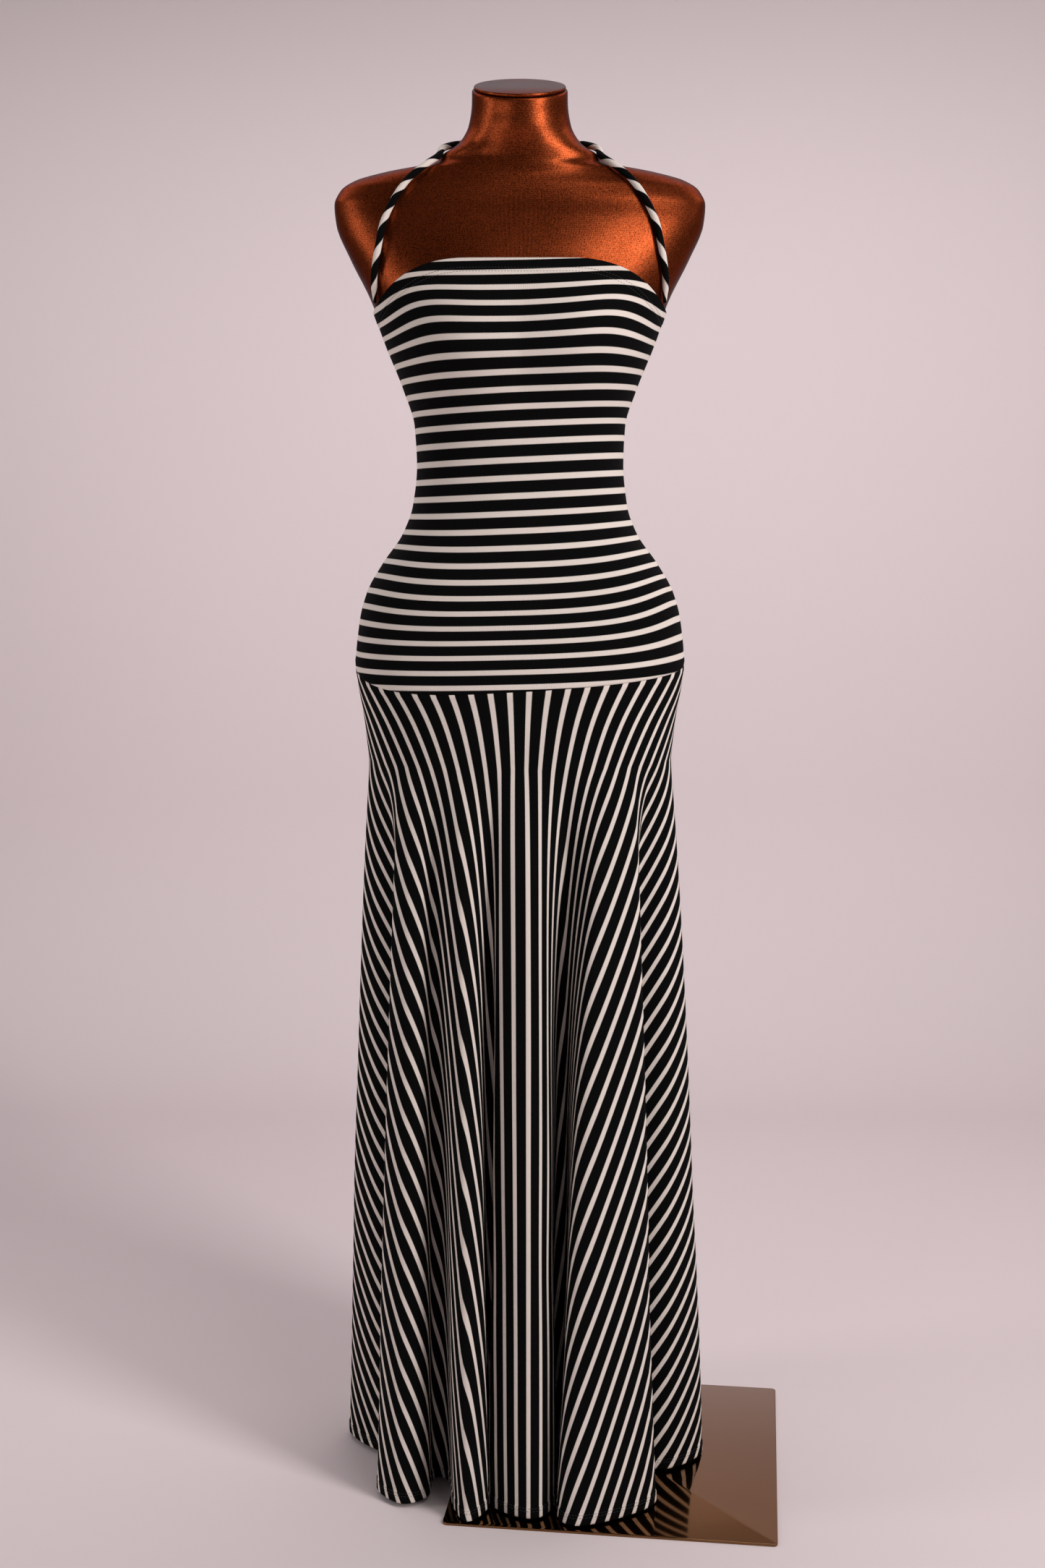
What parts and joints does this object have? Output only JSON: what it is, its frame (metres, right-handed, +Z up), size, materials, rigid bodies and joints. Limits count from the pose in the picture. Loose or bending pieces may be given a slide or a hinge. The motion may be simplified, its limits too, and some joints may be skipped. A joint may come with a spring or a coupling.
{
  "type": "halter dress on dress form",
  "caption": "Floor-length halter dress in striped knit, fitted to the hips with a flared skirt in deep folds, on a satin-covered limbless dress form with pole and square plate.",
  "frame": {"origin": "on the floor, under the axis of the pole, in the plane of the plate's underside", "axes": "+Z up along the pole, -Y out of the front of the dress, +X to the right as one faces the front"},
  "size_m": [0.513, 0.3956, 1.5175],
  "materials": {
    "striped_knit": "matte jersey knit in black and cream stripes",
    "satin_cover": "copper-brown satin with soft broad highlights",
    "pole_steel": "brushed steel",
    "plate_bronze": "bronze mirror plating"
  },
  "bodies": {
    "root": {"bodice_front": "striped_knit", "bodice_back": "striped_knit", "halter_strap": "striped_knit", "skirt_front": "striped_knit", "skirt_back": "striped_knit", "form_torso": "satin_cover", "form_neck_cap": "satin_cover", "stand_pole": "pole_steel", "base_plate": "plate_bronze"}
  },
  "joints": []
}
